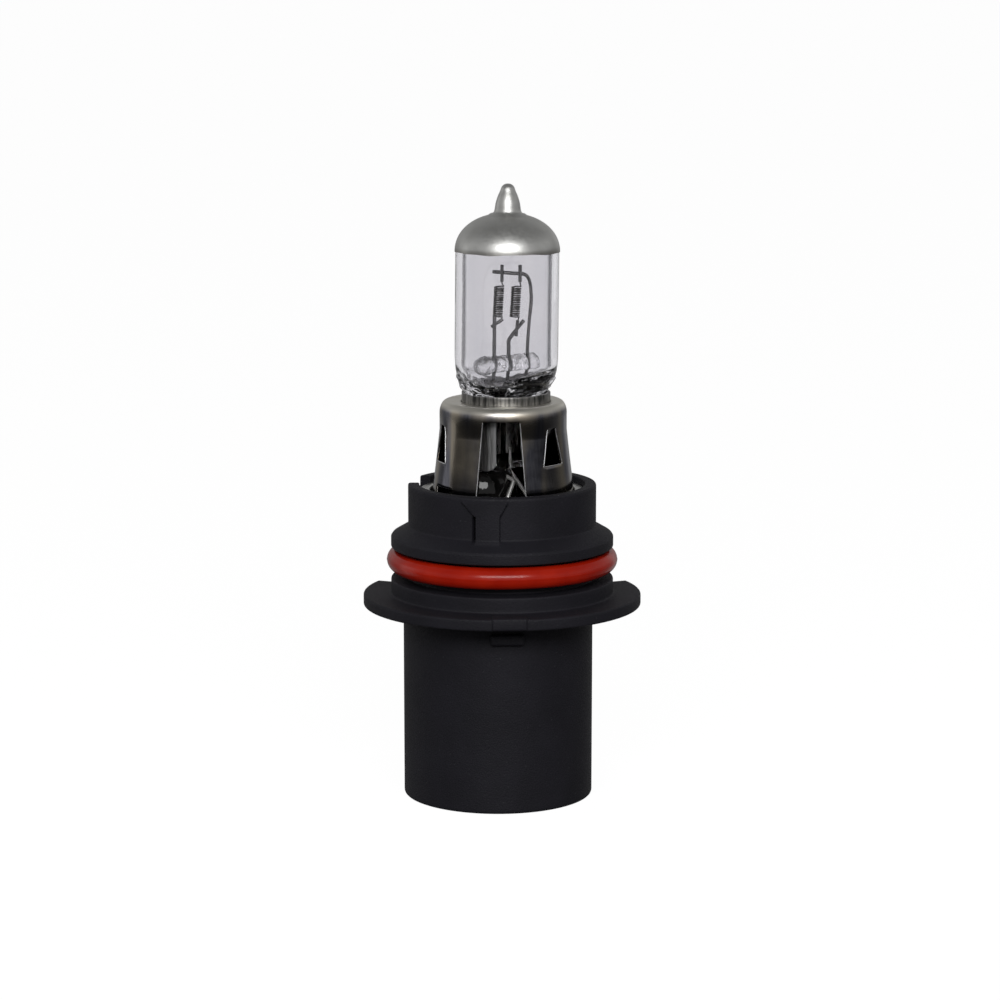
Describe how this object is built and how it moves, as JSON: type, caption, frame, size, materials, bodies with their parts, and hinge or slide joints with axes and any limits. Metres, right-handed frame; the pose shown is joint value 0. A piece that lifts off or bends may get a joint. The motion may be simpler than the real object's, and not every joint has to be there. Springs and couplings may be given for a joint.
{
  "type": "headlight bulb",
  "caption": "Halogen headlight bulb: a silver-tipped glass burner with a high-beam and a low-beam coil, in a slotted steel sleeve on a black plastic base with a red sealing ring.",
  "frame": {"origin": "on the base's axis, at the upper face of the flange, which seats against the lamp's reflector neck", "axes": "+Z runs along the base's axis to the glass tip; -Y is the front, where the sleeve has its large window; +X is to the right seen from the front"},
  "size_m": [0.0406, 0.0411, 0.0899],
  "materials": {
    "quartz_glass": "clear polished quartz",
    "silver_coating": "satin silver-grey coating",
    "tungsten": "coiled drawn wire",
    "molybdenum": "drawn wire, slightly dark",
    "plated_wire": "bright plated wire",
    "clip_steel": "thin rolled spring steel",
    "sleeve_steel": "rolled stainless sheet with a warm heat tint",
    "plated_ring": "bright satin plated ring",
    "black_plastic": "fine-grained moulded black plastic",
    "red_silicone": "satin moulded silicone",
    "black_potting": "glossy cured potting",
    "tinned_brass": "tin-plated brass strip"
  },
  "bodies": {
    "root": {"glass_envelope": "quartz_glass", "glass_bridge": "quartz_glass", "tip_coating": "silver_coating", "low_beam_filament": "tungsten", "high_beam_filament": "tungsten", "low_beam_leg_tubes": "molybdenum", "high_beam_leg_tubes": "molybdenum", "low_beam_inner_lead": "molybdenum", "high_beam_inner_lead": "molybdenum", "common_inner_lead": "molybdenum", "low_beam_foil": "molybdenum", "high_beam_foil": "molybdenum", "common_foil": "molybdenum", "low_beam_outer_lead": "plated_wire", "high_beam_outer_lead": "plated_wire", "common_outer_lead": "plated_wire", "burner_clip": "clip_steel", "retainer_sleeve": "sleeve_steel", "base_ring": "plated_ring", "base_housing": "black_plastic", "o_ring": "red_silicone", "sealing_compound": "black_potting", "low_beam_terminal": "tinned_brass", "high_beam_terminal": "tinned_brass", "common_terminal": "tinned_brass"}
  },
  "joints": []
}
